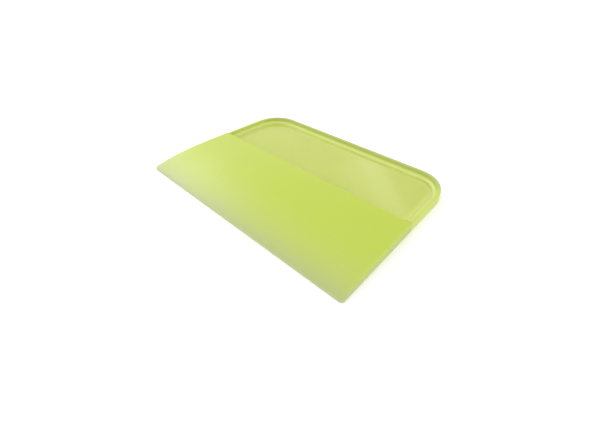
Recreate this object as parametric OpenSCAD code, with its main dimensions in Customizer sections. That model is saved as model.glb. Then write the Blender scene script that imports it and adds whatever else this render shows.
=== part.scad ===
// Flat squeegee applicator for wrap film and sign vinyl: a soft blade with a fine
// working edge, and behind it a shallow finger recess with a raised rim round it.
// Frame: X along the working edge, the edge towards -Y, the flat underside at z = 0.

/* [Outline] */
// Width along the working edge
edge_w = 130; // [100:1:150]
// Width along the rear edge
rear_w = 120; // [95:1:130]
// Depth from the working edge to the rear edge
depth = 84; // [76:1:100]
// Radius of the two rear corners
rear_r = 16; // [8:0.5:20]
// Radius of the two corners of the working edge
edge_r = 1.4; // [1:0.1:4]

/* [Blade] */
// Depth of the soft blade, from the working edge back to the grip
blade_d = 46.5; // [40:0.5:50]
// Full thickness, at the back of the blade and at the rim
body_h = 4.6; // [4.4:0.1:7]
// Thickness left at the working edge
tip_h = 1.1; // [0.6:0.1:1.8]
// How quickly the blade thickens behind its edge, where 1 is a straight wedge
fullness = 3.4; // [1.5:0.1:5]

/* [Grip] */
// Width of the raised rim
rim_w = 1.8; // [1.5:0.1:4]
// Depth of the finger recess, from the top of the rim down to the pane
recess_d = 2.9; // [1:0.1:2.9]
// Radius of the recess's two front corners
recess_front_r = 1.6; // [1.2:0.1:4]
// Width of the clear bead that seals the pane all round
bead_w = 1; // [0.4:0.1:1]
// Height of that bead
bead_h = 0.8; // [0.3:0.1:0.9]

/* [Pane] */
// Thickness of the flange that keys the pane into its neighbours
flange_t = 0.7; // [0.5:0.1:0.8]
// Material below the flange
flange_z = 0.5; // [0.4:0.1:0.6]
// Skin left outside the flange, in the rim and at the blade's sides
flange_skin = 0.9; // [0.8:0.1:1.2]
// Depth of the tongue that reaches forwards into the blade
tongue_d = 8; // [5:0.5:12]
// Diameter of the holes in the tongue, which the blade's material fills
key_d = 3; // [2:0.5:4]
// Number of holes in the tongue
key_count = 9; // [5:1:11]

/* [Hidden] */
$fn = 64;

edge_y = -depth / 2;
rear_y = depth / 2;
joint_y = edge_y + blade_d;
pane_h = body_h - recess_d;
taper = (edge_w - rear_w) / 2 / depth;
slope_len = sqrt(1 + taper * taper);
profile_steps = 24;
over = 1;
widest = max(edge_w, rear_w);

// Half width of the outline at a given y, measured a given distance inside its sides
function half_w(y, inset) = edge_w / 2 - taper * (y - edge_y) - inset * slope_len;

// Corners of an outline set in from the sides and the rear, each as [x, y, radius]
function corners(inset, front_y, front_r) = [
    [half_w(front_y, inset), front_y, front_r],
    [half_w(rear_y - inset, inset), rear_y - inset, rear_r - inset],
    [-half_w(rear_y - inset, inset), rear_y - inset, rear_r - inset],
    [-half_w(front_y, inset), front_y, front_r],
];

function unit(v) = v / norm(v);
function xy(c) = [c[0], c[1]];
function following(c, i) = c[(i + 1) % len(c)];
function previous(c, i) = c[(i + len(c) - 1) % len(c)];
function to_next(c, i) = unit(xy(following(c, i)) - xy(c[i]));
function to_last(c, i) = unit(xy(previous(c, i)) - xy(c[i]));
function half_angle(c, i) = acos(to_next(c, i) * to_last(c, i)) / 2;
function reach(c, i) = c[i][2] / tan(half_angle(c, i));
// Where corner i's round ends on the way to the next corner, and where it starts
function leaves(c, i) = xy(c[i]) + to_next(c, i) * reach(c, i);
function meets(c, i) = xy(c[i]) + to_last(c, i) * reach(c, i);
function centre(c, i) =
    xy(c[i]) + unit(to_next(c, i) + to_last(c, i)) * c[i][2] / sin(half_angle(c, i));

module rounded(c) {
    polygon([for (i = [0 : len(c) - 1]) each [meets(c, i), leaves(c, i)]]);
    for (i = [0 : len(c) - 1])
        translate(centre(c, i)) circle(r = c[i][2]);
}

module outer_outline() {
    rounded(corners(0, edge_y, edge_r));
}

module recess_outline() {
    rounded(corners(rim_w, joint_y, recess_front_r));
}

module bead_inner_outline() {
    rounded(corners(rim_w + bead_w, joint_y + bead_w, recess_front_r - bead_w));
}

module flange_outline() {
    rounded(corners(flange_skin, joint_y - tongue_d, recess_front_r));
}

// Blade thickness at a share of the way from the working edge to the grip
function blade_h(share) = tip_h + (body_h - tip_h) * (1 - pow(1 - share, fullness));

// Side view of the blade, swept across the whole width
module blade_profile() {
    rotate([90, 0, 90])
        linear_extrude(height = widest + 2 * over, center = true)
            polygon([
                [edge_y, 0],
                for (i = [0 : profile_steps])
                    [edge_y + blade_d * i / profile_steps, blade_h(i / profile_steps)],
                [joint_y, 0],
            ]);
}

// Everything behind the blade's rear face
module behind_blade() {
    translate([-widest, joint_y, -over])
        cube([2 * widest, depth, body_h + 2 * over]);
}

// A row of holes spread evenly over the tongue's width
module key_holes() {
    key_pitch = 2 * half_w(joint_y, flange_skin) / (key_count + 1);
    for (i = [0 : key_count - 1])
        translate([(i - (key_count - 1) / 2) * key_pitch, joint_y - tongue_d / 2, 0])
            cylinder(h = body_h, d = key_d);
}

// The thin flange with its tongue, drilled for the blade's material
module flange() {
    difference() {
        translate([0, 0, flange_z])
            linear_extrude(height = flange_t) flange_outline();
        key_holes();
    }
}

module blade() {
    color("#c9dc62", 0.9)
        difference() {
            intersection() {
                linear_extrude(height = body_h) outer_outline();
                blade_profile();
            }
            flange();
        }
}

module grip_rim() {
    color("#bccb5c", 0.9)
        difference() {
            intersection() {
                linear_extrude(height = body_h) outer_outline();
                behind_blade();
            }
            translate([0, 0, -over])
                linear_extrude(height = body_h + 2 * over) recess_outline();
            flange();
        }
}

module grip_pane() {
    color("#d2d87e", 0.8)
        union() {
            linear_extrude(height = pane_h) recess_outline();
            flange();
        }
}

module pane_bead() {
    color("#e4eaa0", 0.8)
        translate([0, 0, pane_h])
            linear_extrude(height = bead_h)
                difference() {
                    recess_outline();
                    bead_inner_outline();
                }
}

blade();
grip_rim();
grip_pane();
pane_bead();
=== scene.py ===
import math

import bmesh
import bpy
from mathutils import Matrix, Vector


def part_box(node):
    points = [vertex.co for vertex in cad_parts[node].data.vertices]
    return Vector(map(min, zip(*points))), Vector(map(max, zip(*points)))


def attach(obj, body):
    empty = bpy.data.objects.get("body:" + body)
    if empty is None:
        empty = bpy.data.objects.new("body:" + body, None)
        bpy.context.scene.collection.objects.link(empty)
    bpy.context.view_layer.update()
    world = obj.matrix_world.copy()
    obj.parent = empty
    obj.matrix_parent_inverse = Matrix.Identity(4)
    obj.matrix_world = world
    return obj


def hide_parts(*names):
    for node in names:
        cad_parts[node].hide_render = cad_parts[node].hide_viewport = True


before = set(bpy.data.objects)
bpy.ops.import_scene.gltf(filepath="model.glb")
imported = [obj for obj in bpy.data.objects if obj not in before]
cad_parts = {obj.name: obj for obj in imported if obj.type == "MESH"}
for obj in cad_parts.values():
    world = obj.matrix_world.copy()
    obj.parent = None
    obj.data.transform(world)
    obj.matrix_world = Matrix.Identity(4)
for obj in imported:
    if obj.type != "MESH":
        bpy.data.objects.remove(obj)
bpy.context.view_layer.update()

# ---------------------------------------------------------------------------
# Blade
# The soft front half that presses the film down. It is cast in translucent
# polyurethane against a flat plate: plane underneath, and falling away on top
# in one curve to the working edge, with a groove behind for the pane's tongue.
# ---------------------------------------------------------------------------

MM = 0.001
NEAR = 0.001 * MM

blade_low, blade_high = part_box("blade")
grip_half_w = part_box("grip_rim")[1].x
edge_y, joint_y, rear_y = blade_low.y, blade_high.y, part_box("grip_rim")[1].y
full_h = blade_high.z
tip_h = 1.1 * MM
fullness = 3.4
edge_w, rear_w = 130 * MM, 120 * MM
side_taper = (edge_w - rear_w) / 2 / (rear_y - edge_y)
SIDE_LEN = math.hypot(1, side_taper)
edge_corner_r, edge_corner_steps = 1.4 * MM, 6
soft_edge_r, soft_edge_steps = 0.18 * MM, 3
slices = 26
flange_z, flange_t, flange_skin = 0.5 * MM, 0.7 * MM, 0.9 * MM
tongue_d = 8 * MM
key_r, key_count, key_sides = 1.5 * MM, 9, 24


def half_width(y, inset=0.0):
    """Half the tool's width at y, measured inset inside its tapered sides."""
    return grip_half_w + side_taper * (joint_y - y) - inset * SIDE_LEN


def blade_top(y):
    """Height of the blade's upper surface at y."""
    share = min(1.0, max(0.0, (y - edge_y) / (joint_y - edge_y)))
    return tip_h + (full_h - tip_h) * (1 - (1 - share) ** fullness)


def only(kind, parts):
    """Picks the vertices, the edges or the faces out of mixed parts of a mesh."""
    return [part for part in parts if isinstance(part, kind)]


def all_verts(parts):
    """Every vertex of some edges or faces, each once."""
    return list(dict.fromkeys(v for part in parts for v in part.verts))


def whole(bm):
    return bm.verts[:] + bm.edges[:] + bm.faces[:]


def cut(bm, parts, at, across):
    """Slices through some of a mesh and keeps both sides."""
    bmesh.ops.bisect_plane(bm, geom=parts, dist=NEAR / 10, plane_co=at, plane_no=across)


def on_rear(part):
    """Whether an edge or a face lies in the blade's rear face."""
    return all(v.co.y > joint_y - NEAR for v in part.verts)


def needs_softening(edge):
    """Sharp edges of the top and the underside, but not the rear face's foot."""
    if len(edge.link_faces) != 2 or edge.calc_face_angle(0) < math.radians(40):
        return False
    lowest, highest = sorted(v.co.z for v in edge.verts)
    if on_rear(edge) and lowest < full_h - NEAR:
        return False
    return highest < NEAR or lowest > tip_h - NEAR


def finished(name, bm, deepness):
    """Links the finished mesh, with how deep its colour is at each point, painted light and
    shade included.
    """
    layer = bm.verts.layers.float.new("depth_and_painted_light")
    for v in bm.verts:
        v[layer] = deepness(v.co)
    mesh = bpy.data.meshes.new(name)
    bm.to_mesh(mesh)
    bm.free()
    mesh.shade_smooth()
    mesh.set_sharp_from_angle(angle=math.radians(50))
    piece = bpy.data.objects.new(name, mesh)
    bpy.context.scene.collection.objects.link(piece)
    return piece


# the outline, its two front corners rounded, sliced across and raised to the curve
bm = bmesh.new()
sides = [(-1, edge_y), (1, edge_y), (1, joint_y), (-1, joint_y)]
bm.faces.new([bm.verts.new((side * half_width(y), y, 0)) for side, y in sides])
front = [v for v in bm.verts if v.co.y < edge_y + NEAR]
bmesh.ops.bevel(bm, geom=front, offset=edge_corner_r, segments=edge_corner_steps,
                profile=0.5, affect="VERTICES", material=-1)
behind_corners = max(v.co.y for v in bm.verts if v.co.y < joint_y - NEAR)
for i in range(slices):
    y = behind_corners + (joint_y - behind_corners) * i / slices
    cut(bm, whole(bm), (0, y, 0), (0, 1, 0))
raised = bmesh.ops.extrude_face_region(bm, geom=bm.faces[:], use_keep_orig=True)["geom"]
for v in only(bmesh.types.BMVert, raised):
    v.co.z = blade_top(v.co.y)
bmesh.ops.recalc_face_normals(bm, faces=bm.faces[:])
bmesh.ops.bevel(bm, geom=[e for e in bm.edges if needs_softening(e)], offset=soft_edge_r,
                segments=soft_edge_steps, profile=0.5, affect="EDGES", material=-1,
                clamp_overlap=True)

# the groove for the pane's tongue, and the pins of blade that fill its holes
groove_half_w = half_width(joint_y, flange_skin)
for at, across in [((0, 0, flange_z), (0, 0, 1)), ((0, 0, flange_z + flange_t), (0, 0, 1)),
                   ((groove_half_w, 0, 0), (1, 0, 0)), ((-groove_half_w, 0, 0), (1, 0, 0))]:
    rear = [f for f in bm.faces if on_rear(f)]
    bordering = dict.fromkeys(part for f in rear for part in [f, *f.edges, *f.verts])
    cut(bm, list(bordering), at, across)
groove_middle = Vector((0, joint_y, flange_z + flange_t / 2))
mouth = min((f for f in bm.faces if on_rear(f)),
            key=lambda f: (f.calc_center_median() - groove_middle).length)
sunk = bmesh.ops.extrude_discrete_faces(bm, faces=[mouth])["faces"][0]
for v in sunk.verts:
    v.co.y -= tongue_d
    v.co.x += math.copysign(side_taper * tongue_d, v.co.x)
key_pitch = 2 * groove_half_w / (key_count + 1)
for i in range(key_count):
    at = groove_middle + Vector(((i - (key_count - 1) / 2) * key_pitch, -tongue_d / 2, 0))
    bmesh.ops.create_cone(bm, cap_ends=True, segments=key_sides, radius1=key_r,
                          radius2=key_r, depth=flange_t, matrix=Matrix.Translation(at))

# painted shade: how far the blade's side walls are greyed so they look darker
side_wall_painted_shade = 0.62


def blade_tone(co):
    """Deep where the blade is thick, and greyer down its two side walls as painted shade."""
    on_side = (half_width(co.y) - abs(co.x) < soft_edge_r
               and NEAR < co.z < blade_top(co.y) - 10 * NEAR)
    return blade_top(co.y) / full_h * (side_wall_painted_shade if on_side else 1)


blade = finished("blade_casting", bm, blade_tone)


def input_value(made, **values):
    """Sets a node's inputs, with _ for each space in a name; returns the node."""
    for name, value in values.items():
        made.inputs[name.replace("_", " ")].default_value = value
    return made


def add(tree, kind, **settings):
    """Adds a node with some of its properties set."""
    made = tree.nodes.new(kind)
    for name, value in settings.items():
        setattr(made, name, value)
    return made


def plug(tree, given, socket):
    """Puts a number, a colour or another node's output into a socket."""
    if isinstance(given, (int, float, tuple)):
        socket.default_value = given
    else:
        tree.links.new(given, socket)


def sum_of(tree, operation, first, second, clamp=False):
    """A Math node between two sockets or numbers; returns its output."""
    made = add(tree, "ShaderNodeMath", operation=operation, use_clamp=clamp)
    plug(tree, first, made.inputs[0])
    plug(tree, second, made.inputs[1])
    return made.outputs[0]


def mix_of(tree, share, first, second):
    """A colour Mix node between two sockets or colours; returns its output."""
    made = add(tree, "ShaderNodeMix", data_type="RGBA")
    for name, given in (("Factor", share), ("A", first), ("B", second)):
        plug(tree, given, made.inputs[name])
    return made.outputs["Result"]


def noise_of(tree, per_metre, detail, stretch=(1, 1, 1)):
    """Object-space noise, squeezed along each axis by stretch."""
    place = add(tree, "ShaderNodeTexCoord")
    squeeze = input_value(add(tree, "ShaderNodeMapping"), Scale=stretch)
    made = input_value(add(tree, "ShaderNodeTexNoise"), Detail=detail, Roughness=0.55)
    plug(tree, per_metre, made.inputs["Scale"])
    plug(tree, place.outputs["Object"], squeeze.inputs["Vector"])
    plug(tree, squeeze.outputs["Vector"], made.inputs["Vector"])
    return made.outputs["Fac"]


def ramp_of(tree, given, start, end):
    """Rises from 0 to 1 as a socket goes from start to end; returns its output."""
    made = input_value(add(tree, "ShaderNodeMapRange"), From_Min=start, From_Max=end)
    plug(tree, given, made.inputs["Value"])
    return made.outputs[0]


def effect(name, given, results):
    """A shader node group with named inputs and outputs; returns it with its ends."""
    group = bpy.data.node_groups.new(name, "ShaderNodeTree")
    for label, value in given:
        kind = "NodeSocketColor" if isinstance(value, tuple) else "NodeSocketFloat"
        socket = group.interface.new_socket(label, in_out="INPUT", socket_type=kind)
        socket.default_value = value
    for label in results:
        kind = "NodeSocketColor" if label == "Colour" else "NodeSocketFloat"
        group.interface.new_socket(label, in_out="OUTPUT", socket_type=kind)
    return group, add(group, "NodeGroupInput").outputs, add(group, "NodeGroupOutput").inputs


# the body of the casting: three tones by depth, slow clouds, and the mould's grain
casting, given, out = effect(
    "cast_polyurethane",
    [("Deep", (0.5, 0.6, 0.07, 1)), ("Middle", (0.55, 0.63, 0.15, 1)),
     ("Pale", (0.6, 0.65, 0.25, 1)), ("Depth", 1.0), ("Cloud", 0.1),
     ("Grain per mm", 4.0), ("Roughness", 0.4)],
    ["Colour", "Roughness", "Height"])
clouds_per_metre = 38.0
roughness_swing = 0.16
swing = sum_of(casting, "SUBTRACT", noise_of(casting, clouds_per_metre, 3.0), 0.5)
grain = noise_of(casting, sum_of(casting, "MULTIPLY", given["Grain per mm"], 1 / MM), 2.0)
speckle = sum_of(casting, "SUBTRACT", grain, 0.5)
drift = sum_of(casting, "MULTIPLY", sum_of(casting, "ADD", swing, speckle), given["Cloud"])
depth = sum_of(casting, "ADD", given["Depth"], drift, clamp=True)
thin = mix_of(casting, depth, given["Pale"], given["Middle"])
thick = mix_of(casting, depth, given["Middle"], given["Deep"])
uneven = sum_of(casting, "MULTIPLY", swing, roughness_swing)
plug(casting, mix_of(casting, depth, thin, thick), out["Colour"])
plug(casting, sum_of(casting, "ADD", given["Roughness"], uneven, clamp=True), out["Roughness"])
plug(casting, grain, out["Height"])

# fine rub marks, left by the stroke of the tool over film
rubbing, given, out = effect(
    "rub_marks", [("Amount", 0.5), ("Grain", 0.5), ("Colour", (0.5, 0.6, 0.07, 1))],
    ["Mask", "Height", "Colour"])
strokes_per_metre, stroke_stretch = 1800.0, (1, 0.03, 1)
patches_per_metre = 60.0
haze_colour, haze_share = (0.86, 0.9, 0.66, 1), 0.07
strokes = noise_of(rubbing, strokes_per_metre, 1.0, stretch=stroke_stretch)
patches = noise_of(rubbing, patches_per_metre, 2.0)
marks = sum_of(rubbing, "MULTIPLY", ramp_of(rubbing, strokes, 0.6, 0.7),
               ramp_of(rubbing, patches, 0.45, 0.65))
mask = sum_of(rubbing, "MULTIPLY", marks, given["Amount"])
haze = sum_of(rubbing, "MULTIPLY", mask, haze_share)
plug(rubbing, mask, out["Mask"])
plug(rubbing, sum_of(rubbing, "SUBTRACT", given["Grain"], mask), out["Height"])
plug(rubbing, mix_of(rubbing, haze, given["Colour"], haze_colour), out["Colour"])

relief_depth = 0.08 * MM
mark_dullness = 0.25


def depth_from_mesh(tree):
    """How deep the colour is, as the finished mesh carries it, painted light and shade
    included.
    """
    return add(tree, "ShaderNodeAttribute", attribute_name="depth_and_painted_light").outputs["Fac"]


def cast_material(name, deep, middle, pale, roughness, grain, relief, rub, milky,
                  spread=2.5 * MM, depth_in=depth_from_mesh):
    """A translucent casting; milky is how much light spreads inside it."""
    made = bpy.data.materials.new(name)
    made.use_nodes = True
    tree = made.node_tree
    shader = tree.nodes["Principled BSDF"]
    depth = depth_in(tree)
    cast = add(tree, "ShaderNodeGroup", node_tree=casting)
    input_value(cast, Deep=(*deep, 1), Middle=(*middle, 1), Pale=(*pale, 1), Cloud=0.2,
                Grain_per_mm=grain, Roughness=roughness)
    plug(tree, depth, cast.inputs["Depth"])
    # thin places are the ones that wear
    wear = sum_of(tree, "ADD", sum_of(tree, "MULTIPLY", depth, -rub), 1.5 * rub)
    marks = add(tree, "ShaderNodeGroup", node_tree=rubbing)
    plug(tree, wear, marks.inputs["Amount"])
    plug(tree, cast.outputs["Height"], marks.inputs["Grain"])
    plug(tree, cast.outputs["Colour"], marks.inputs["Colour"])
    bump = input_value(add(tree, "ShaderNodeBump"), Strength=relief, Distance=relief_depth)
    plug(tree, marks.outputs["Height"], bump.inputs["Height"])
    dull = sum_of(tree, "MULTIPLY", marks.outputs["Mask"], mark_dullness)
    dulled = sum_of(tree, "ADD", cast.outputs["Roughness"], dull, clamp=True)
    plug(tree, marks.outputs["Colour"], shader.inputs["Base Color"])
    plug(tree, dulled, shader.inputs["Roughness"])
    plug(tree, bump.outputs["Normal"], shader.inputs["Normal"])
    input_value(shader, Subsurface_Weight=milky, Subsurface_Scale=spread,
                Subsurface_Radius=(1.0, 0.9, 0.35))
    return made


blade.data.materials.append(cast_material(
    "blade_elastomer", deep=(0.50, 0.61, 0.055), middle=(0.535, 0.63, 0.13),
    pale=(0.385, 0.42, 0.275), roughness=0.4, grain=5, relief=0.5, rub=0.8, milky=0.3))
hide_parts("blade")
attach(blade, "root")

# ---------------------------------------------------------------------------
# Grip pane
# The floor of the finger recess: a stiffer clear-gloss sheet with a flange all
# round and a drilled tongue, which the soft pieces are cast on to. Its shape
# is the frame's own, and it gets its finish here.
# ---------------------------------------------------------------------------

rim_w = 1.8 * MM
pane_corner_blend = 14 * MM
# painted light: the band along the rim where the pane's colour is painted pale
rim_glow_start, rim_glow_end = 1 * MM, 5 * MM


def pane_depth_with_rim_glow(tree):
    """Painted light: pale at the sheet's sides and rear, a painted glow for light leaking in
    through the rim.
    """
    place = add(tree, "ShaderNodeSeparateXYZ")
    plug(tree, add(tree, "ShaderNodeTexCoord").outputs["Object"], place.inputs["Vector"])
    off_middle = sum_of(tree, "ABSOLUTE", place.outputs["X"], 0)
    narrowing = sum_of(tree, "MULTIPLY", place.outputs["Y"], -side_taper)
    side_x = sum_of(tree, "ADD", narrowing, half_width(0, rim_w))
    nearest = add(tree, "ShaderNodeMath", operation="SMOOTH_MIN")
    plug(tree, sum_of(tree, "SUBTRACT", side_x, off_middle), nearest.inputs[0])
    plug(tree, sum_of(tree, "SUBTRACT", rear_y - rim_w, place.outputs["Y"]),
         nearest.inputs[1])
    plug(tree, pane_corner_blend, nearest.inputs[2])
    return ramp_of(tree, nearest.outputs[0], rim_glow_start, rim_glow_end)


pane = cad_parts["grip_pane"]
pane.data.materials.clear()
pane.data.materials.append(cast_material(
    "pane_plastic", deep=(0.515, 0.58, 0.11), middle=(0.55, 0.63, 0.12),
    pale=(0.74, 0.82, 0.25), roughness=0.09, grain=1.5, relief=0.05, rub=0.5, milky=0.8,
    spread=5 * MM, depth_in=pane_depth_with_rim_glow))

# ---------------------------------------------------------------------------
# Grip rim
# The raised band round the left, rear and right of the finger recess. It is
# moulded in a firmer polyurethane round the pane's flange, with soft edges,
# and its two ends butt against the blade's rear face.
# ---------------------------------------------------------------------------

rear_r, rear_steps = 16 * MM, 24
recess_front_r, front_steps = 1.6 * MM, 8
rim_crown_r, rim_inner_r, rim_foot_r = 0.7 * MM, 0.5 * MM, 0.25 * MM
crown_steps, inner_steps, foot_steps = 6, 5, 3
corner_y = rear_y - rear_r
corner_x = half_width(corner_y, rear_r)
corner_middle = Vector((corner_x, corner_y, 0))
SIDE_TURN = math.pi / 2 - math.atan(side_taper)
DOWN_SIDE = Vector((side_taper, -1, 0)) / SIDE_LEN


def push(bm, loop, by):
    """Draws an open tube on by a straight move; returns its new end."""
    drawn = bmesh.ops.extrude_edge_only(bm, edges=loop)["geom"]
    bmesh.ops.translate(bm, verts=only(bmesh.types.BMVert, drawn), vec=by)
    return only(bmesh.types.BMEdge, drawn)


def bend(bm, loop, about, angle, steps):
    """Draws an open tube on round an upright axis; returns its new end."""
    drawn = bmesh.ops.spin(bm, geom=all_verts(loop) + loop, cent=about, axis=(0, 0, 1),
                           dvec=(0, 0, 0), angle=angle, steps=steps, use_duplicate=False)
    return only(bmesh.types.BMEdge, drawn["geom_last"])


def slide_to(loop, y):
    """Carries a tube's end along the tool's side until it lies flat at y."""
    for v in all_verts(loop):
        v.co += DOWN_SIDE * ((y - v.co.y) / DOWN_SIDE.y)


def both_halves(bm):
    """Mirrors a right-hand half across the middle and joins the two."""
    bmesh.ops.mirror(bm, geom=whole(bm), matrix=Matrix.Identity(4), axis="X",
                     merge_dist=NEAR)
    bmesh.ops.recalc_face_normals(bm, faces=bm.faces[:])


# the rim's section at the middle of the rear, as inset and height, with its soft edges
bm = bmesh.new()
section = [(0, 0), (rim_w, 0), (rim_w, flange_z), (flange_skin, flange_z),
           (flange_skin, flange_z + flange_t), (rim_w, flange_z + flange_t),
           (rim_w, full_h), (0, full_h)]
bm.faces.new([bm.verts.new((0, rear_y - inset, z)) for inset, z in section])
for inset, z, r, steps in ((0, full_h, rim_crown_r, crown_steps),
                           (rim_w, full_h, rim_inner_r, inner_steps),
                           (0, 0, rim_foot_r, foot_steps)):
    at = Vector((0, rear_y - inset, z))
    corner = min(bm.verts, key=lambda v: (v.co - at).length)
    bmesh.ops.bevel(bm, geom=[corner], offset=r, segments=steps, profile=0.5,
                    affect="VERTICES", material=-1)
bmesh.ops.delete(bm, geom=bm.faces[:], context="FACES_ONLY")

# drawn along the rear, round the corner and down the side to the blade
loop = push(bm, bm.edges[:], (corner_x, 0, 0))
loop = bend(bm, loop, corner_middle, -SIDE_TURN, rear_steps)
turn_y = joint_y + recess_front_r
turn_x = half_width(turn_y, rim_w + recess_front_r)
for i in range(front_steps + 1):
    loop = push(bm, loop, (0, 0, 0))
    slide_to(loop, turn_y - recess_front_r * math.sin(math.pi / 2 * i / front_steps))

# the inside face turns inwards round the recess's front corner
for v in bm.verts:
    inside = (half_width(v.co.y) - abs(v.co.x)) / SIDE_LEN
    if v.co.y < turn_y - NEAR and inside > rim_w - rim_inner_r - NEAR:
        arc = turn_x + math.sqrt(max(0, recess_front_r ** 2 - (turn_y - v.co.y) ** 2))
        v.co.x -= half_width(v.co.y, rim_w) - arc
bmesh.ops.edgeloop_fill(bm, edges=loop)
both_halves(bm)

# painted light: where the rim's inner and outer walls and the front of its arms are painted
# pale
inner_wall_glow_from, inner_wall_glow_depth = 0.6 * rim_w, 1.8 * MM
outer_wall_glow_most, outer_wall_glow_from = 0.7, 1.1 * rim_crown_r
arm_painted_light_most, arm_painted_light_from = 0.6, corner_y + 12 * MM


def inside_of(spot):
    """How far a place on the right-hand half is in from the rim's outer face."""
    if spot.x < corner_x:
        return rear_y - spot.y
    if spot.y > corner_y + side_taper * (spot.x - corner_x):
        return rear_r - (spot - corner_middle).length
    return (half_width(spot.y) - spot.x) / SIDE_LEN


def rim_tone(co):
    """Painted light and shade: deep on the crown's outer half, and pale down the walls and
    toward the arms' front ends, as a painted glow for light passing through the rim.
    """
    below = full_h - co.z
    inside = inside_of(Vector((abs(co.x), co.y, 0)))
    inner = min(1, max(0, (inside - inner_wall_glow_from) / (rim_w - inner_wall_glow_from)))
    inner *= min(1, below / inner_wall_glow_depth)
    outer = min(outer_wall_glow_most, max(0, (below - outer_wall_glow_from) / rim_crown_r))
    arm = min(arm_painted_light_most, max(0, (arm_painted_light_from - co.y) / rear_r))
    return 1 - max(inner, outer, arm)


rim = finished("rim_moulding", bm, rim_tone)
rim.data.materials.append(cast_material(
    "rim_elastomer", deep=(0.43, 0.485, 0.14), middle=(0.51, 0.60, 0.10),
    pale=(0.71, 0.79, 0.14), roughness=0.4, grain=5, relief=0.45, rub=0.4, milky=0.1))
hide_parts("grip_rim")
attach(rim, "root")

# ---------------------------------------------------------------------------
# Sealing bead
# A fine fillet of clear adhesive that runs round the pane, in the corner it
# makes with the rim and with the blade. Wiped in with a fingertip, so its
# face is hollow.
# ---------------------------------------------------------------------------

pane_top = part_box("pane_bead")[0].z
bead_w, bead_h, hollow_steps = 1.4 * MM, 1.1 * MM, 8
bead_front_steps = 10
bead_tone = 0.3

bm = bmesh.new()
hollow = [(bead_w * (1 - math.sin(a)), bead_h * (1 - math.cos(a)))
          for a in (math.pi / 2 * i / hollow_steps for i in range(hollow_steps + 1))]
verts = [bm.verts.new((0, rear_y - rim_w - inset, pane_top + z))
         for inset, z in [(0, 0)] + hollow]
loop = [bm.edges.new((a, b)) for a, b in zip(verts, verts[1:] + verts[:1])]
outwards = Vector((1, side_taper, 0)) / SIDE_LEN
side_start = corner_middle + outwards * (rear_r - rim_w)
side_end = Vector((turn_x, turn_y, 0)) + outwards * recess_front_r
loop = push(bm, loop, (corner_x, 0, 0))
loop = bend(bm, loop, corner_middle, -SIDE_TURN, rear_steps)
loop = push(bm, loop, side_end - side_start)
loop = bend(bm, loop, (turn_x, turn_y, 0), -(math.pi - SIDE_TURN), bead_front_steps)
loop = push(bm, loop, (-turn_x, 0, 0))
both_halves(bm)

bead = finished("bead_fillet", bm, lambda co: bead_tone)
bead.data.materials.append(cast_material(
    "bead_clear", deep=(0.60, 0.68, 0.19), middle=(0.64, 0.72, 0.21), pale=(0.72, 0.78, 0.25),
    roughness=0.16, grain=0.8, relief=0.2, rub=0.0, milky=0.0))
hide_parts("pane_bead")
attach(bead, "root")

# ---------------------------------------------------------------------------
# Studio
# A pale seamless floor under a bright, even sky, a broad softbox low at the
# left, and two strips beyond the pane that its gloss mirrors.
# ---------------------------------------------------------------------------

floor_half_w = 3
floor_gap = 0.05 * MM

bm = bmesh.new()
bmesh.ops.create_grid(bm, x_segments=1, y_segments=1, size=floor_half_w)
floor_mesh = bpy.data.meshes.new("floor")
bm.to_mesh(floor_mesh)
bm.free()
floor = bpy.data.objects.new("floor", floor_mesh)
floor.location.z = -floor_gap
bpy.context.scene.collection.objects.link(floor)
paper = bpy.data.materials.new("floor_paper")
paper.use_nodes = True
input_value(paper.node_tree.nodes["Principled BSDF"], Base_Color=(0.92, 0.92, 0.92, 1),
            Roughness=0.8, Emission_Color=(1, 1, 1, 1), Emission_Strength=0.14)
floor_mesh.materials.append(paper)

world = bpy.data.worlds.new("studio")
bpy.context.scene.world = world
world.use_nodes = True
input_value(world.node_tree.nodes["Background"], Color=(1, 1, 1, 1), Strength=1.06)


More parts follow.
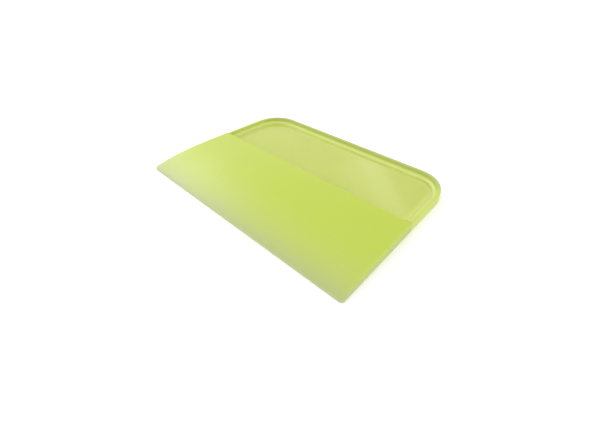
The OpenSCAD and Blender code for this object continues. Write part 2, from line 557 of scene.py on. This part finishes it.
def softbox(name, at, aim, along, width, length, radiance):
    """A soft panel at one place, facing another, its long side set by along."""
    lamp = bpy.data.lights.new(name, "AREA")
    lamp.shape = "RECTANGLE"
    lamp.size, lamp.size_y = width, length
    lamp.energy = radiance * math.pi * width * length
    box = bpy.data.objects.new(name, lamp)
    facing = (at - aim).normalized()
    across = along.cross(facing).normalized()
    turn = Matrix((across, facing.cross(across), facing)).transposed().to_4x4()
    box.matrix_world = Matrix.Translation(at) @ turn
    box.visible_camera = False
    bpy.context.scene.collection.objects.link(box)


def bearing(heading, height, away):
    """A place around the tool: bearing from +X, angle above the floor, distance."""
    turn, tilt = math.radians(heading), math.radians(height)
    flat = away * math.cos(tilt)
    return Vector((flat * math.cos(turn), flat * math.sin(turn), away * math.sin(tilt)))


softbox("left_softbox", bearing(183, 27, 0.5), aim=Vector((0, 0, 0)),
        along=Vector((0, 0, 1)), width=0.35, length=0.22, radiance=2.05)

# the strips' shared right-hand edge, which the pane mirrors as a slanting line
strip_low, strip_high = Vector((-0.154, 0.4155, 0.336)), Vector((-0.2096, 0.4057, 0.2537))
pane_middle = Vector((0.035, 0.025, 0.0017))
strip_middle = (strip_low + strip_high) / 2
strip_along = (strip_high - strip_low).normalized()
strip_side = strip_along.cross((strip_middle - pane_middle).normalized()).normalized()
for name, width in (("wide_strip", 0.075), ("narrow_strip", 0.04)):
    softbox(name, strip_middle - strip_side * width / 2, aim=pane_middle,
            along=strip_along, width=width, length=0.16, radiance=0.38)

# ---------------------------------------------------------------------------
# Camera
# Three-quarter view from the front right, looking down on to the tool.
# ---------------------------------------------------------------------------

azimuth, elevation, roll = math.radians(47.15), math.radians(38.60), math.radians(-3.35)
aim = Vector((19.70, -16.64, 0)) * MM
distance = 160.55 * MM
back = Vector((math.sin(azimuth) * math.cos(elevation),
               -math.cos(azimuth) * math.cos(elevation), math.sin(elevation)))
level = Vector((math.cos(azimuth), math.sin(azimuth), 0))
rise = back.cross(level)
right = math.cos(roll) * level + math.sin(roll) * rise
up = -math.sin(roll) * level + math.cos(roll) * rise
lens = bpy.data.cameras.new("camera")
lens.sensor_width = 36
lens.lens = 21.7734
lens.clip_start, lens.clip_end = 0.01, 20
camera = bpy.data.objects.new("camera", lens)
turn = Matrix((right, up, back)).transposed().to_4x4()
camera.matrix_world = Matrix.Translation(aim + back * distance) @ turn
bpy.context.scene.collection.objects.link(camera)
bpy.context.scene.camera = camera
bpy.context.scene.view_settings.view_transform = "Standard"
